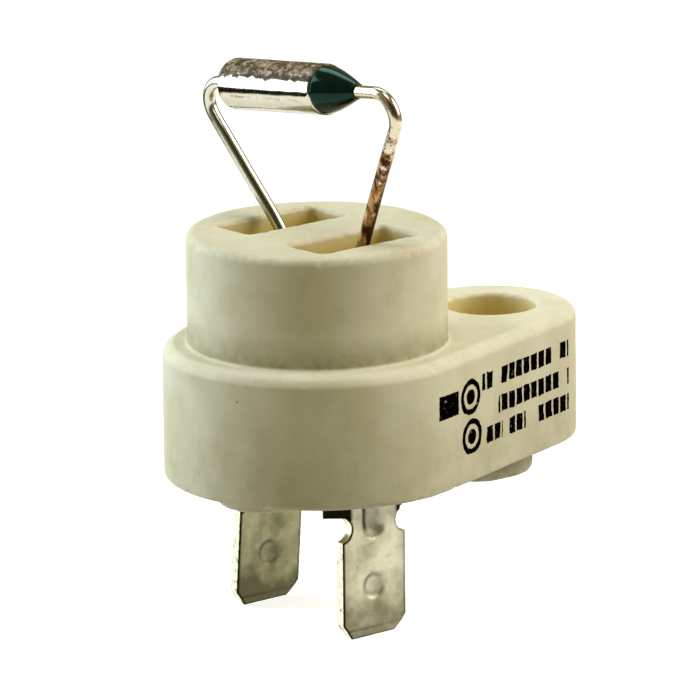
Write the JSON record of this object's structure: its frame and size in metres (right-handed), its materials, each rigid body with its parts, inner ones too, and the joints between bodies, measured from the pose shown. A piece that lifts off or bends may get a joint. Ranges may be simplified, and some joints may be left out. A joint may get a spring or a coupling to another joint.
{
  "type": "fuse link",
  "caption": "Thermal fuse link: an axial fuse held by its bent leads over a round collar of a pressed ceramic holder, with a screw ear and two push-on tabs below.",
  "frame": {"origin": "On the collar's axis, in the seat plane of the flange, which lies against the panel.", "axes": "+Z along the collar towards the fuse, +X towards the screw ear, +Y completes a right-handed frame and points at the case lead's side."},
  "size_m": [0.0367, 0.0242, 0.0452],
  "materials": {
    "ceramic": "matt, unglazed, slightly gritty",
    "tin_plate": "dull tin plate, bright at the sheared edges",
    "case_metal": "silver plate, tarnished brown on one side",
    "lead_wire": "silver-plated copper, copper showing through near the holder",
    "contact_silver": "silver",
    "spring_steel": "drawn wire and strip",
    "pellet": "pressed organic powder",
    "alumina": "white, fired",
    "epoxy": "dark green, glossy"
  },
  "bodies": {
    "root": {"holder_body": "ceramic", "front_terminal": "tin_plate", "rear_terminal": "tin_plate", "fuse_case": "case_metal", "case_lead": "lead_wire", "thermal_pellet": "pellet", "pellet_disc": "spring_steel", "compression_spring": "spring_steel", "contact_disc": "spring_steel", "star_contact": "contact_silver", "trip_spring": "spring_steel", "bushing": "alumina", "sealed_lead": "lead_wire", "seal": "epoxy"}
  },
  "joints": []
}
